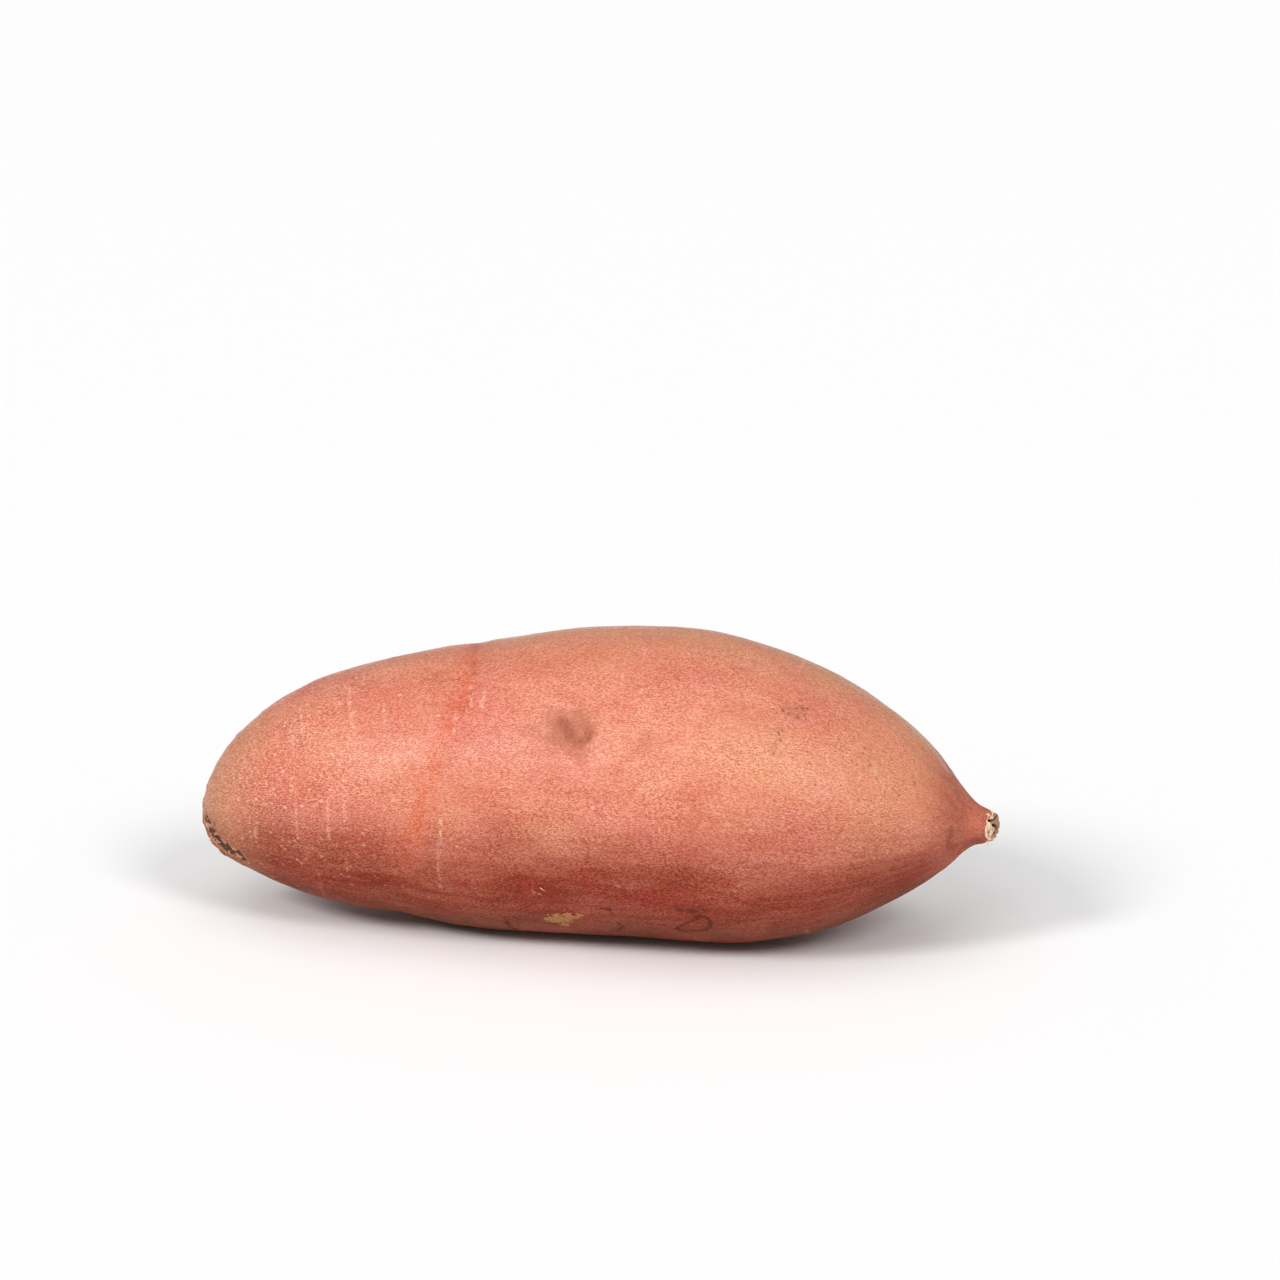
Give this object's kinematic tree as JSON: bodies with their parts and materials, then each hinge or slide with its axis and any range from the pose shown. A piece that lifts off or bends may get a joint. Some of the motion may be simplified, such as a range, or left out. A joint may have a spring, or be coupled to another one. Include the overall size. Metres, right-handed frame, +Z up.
{
  "type": "sweet potato",
  "caption": "Plump storage root lying on its side, tapering to a blunt corky tail at one end and a narrow cut neck at the other; food or kitchen prop.",
  "frame": {"origin": "ground level under the middle of the root's own box", "axes": "+Z up, +X along the root towards the cut neck, -Y towards its front side"},
  "size_m": [0.1646, 0.0664, 0.0634],
  "materials": {
    "skin": "satin"
  },
  "bodies": {
    "root": {"sweet_potato": "skin"}
  },
  "joints": []
}
